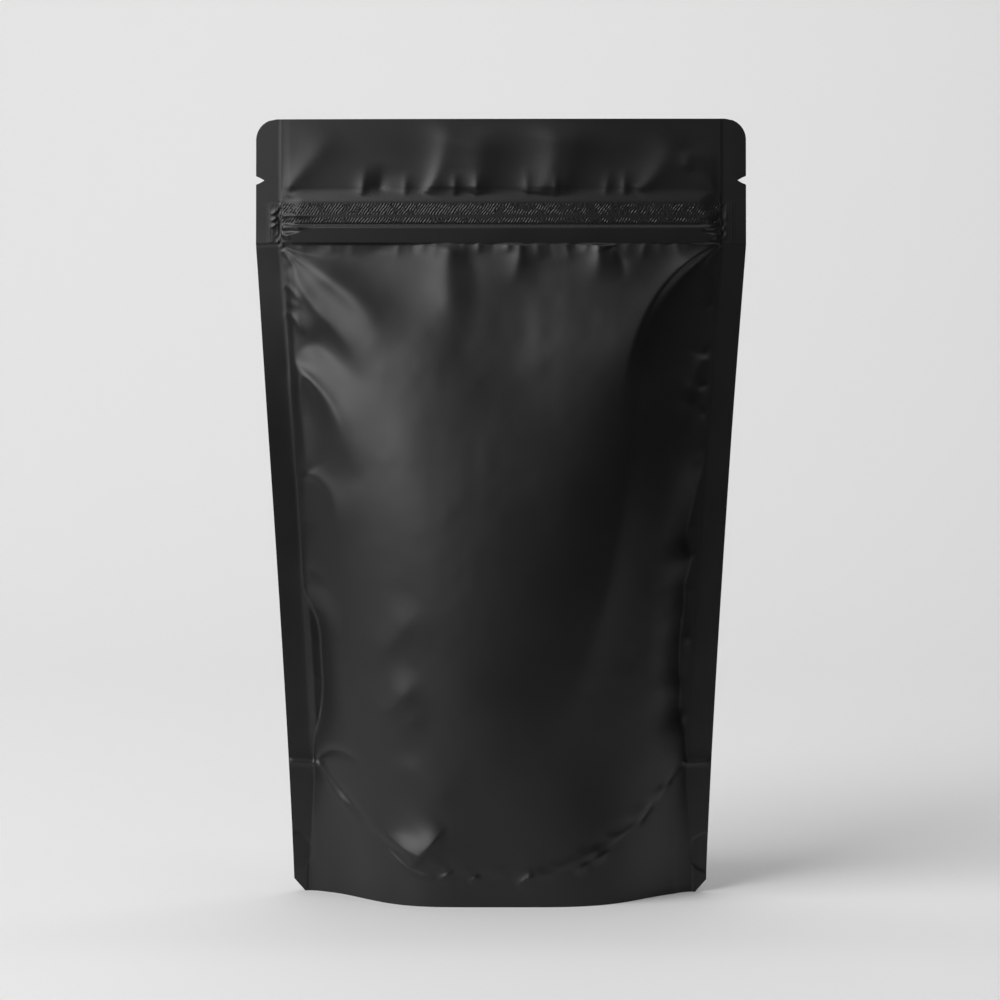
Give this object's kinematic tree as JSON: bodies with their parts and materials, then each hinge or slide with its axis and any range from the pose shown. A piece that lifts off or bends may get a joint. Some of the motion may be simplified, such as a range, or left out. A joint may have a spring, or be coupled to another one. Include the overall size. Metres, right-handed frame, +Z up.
{
  "type": "stand-up pouch",
  "caption": "Filled stand-up pouch in matte black film with a press zip, tear notches, flat side seals and a gusseted base.",
  "frame": {"origin": "on the floor under the middle of the pouch", "axes": "+Z up along the pouch's height, the front face towards -Y, +X to the right as seen from the front"},
  "size_m": [0.152, 0.068, 0.241],
  "materials": {
    "film": "matte black laminated film with a soft sheen"
  },
  "bodies": {
    "root": {"pouch": "film"}
  },
  "joints": []
}
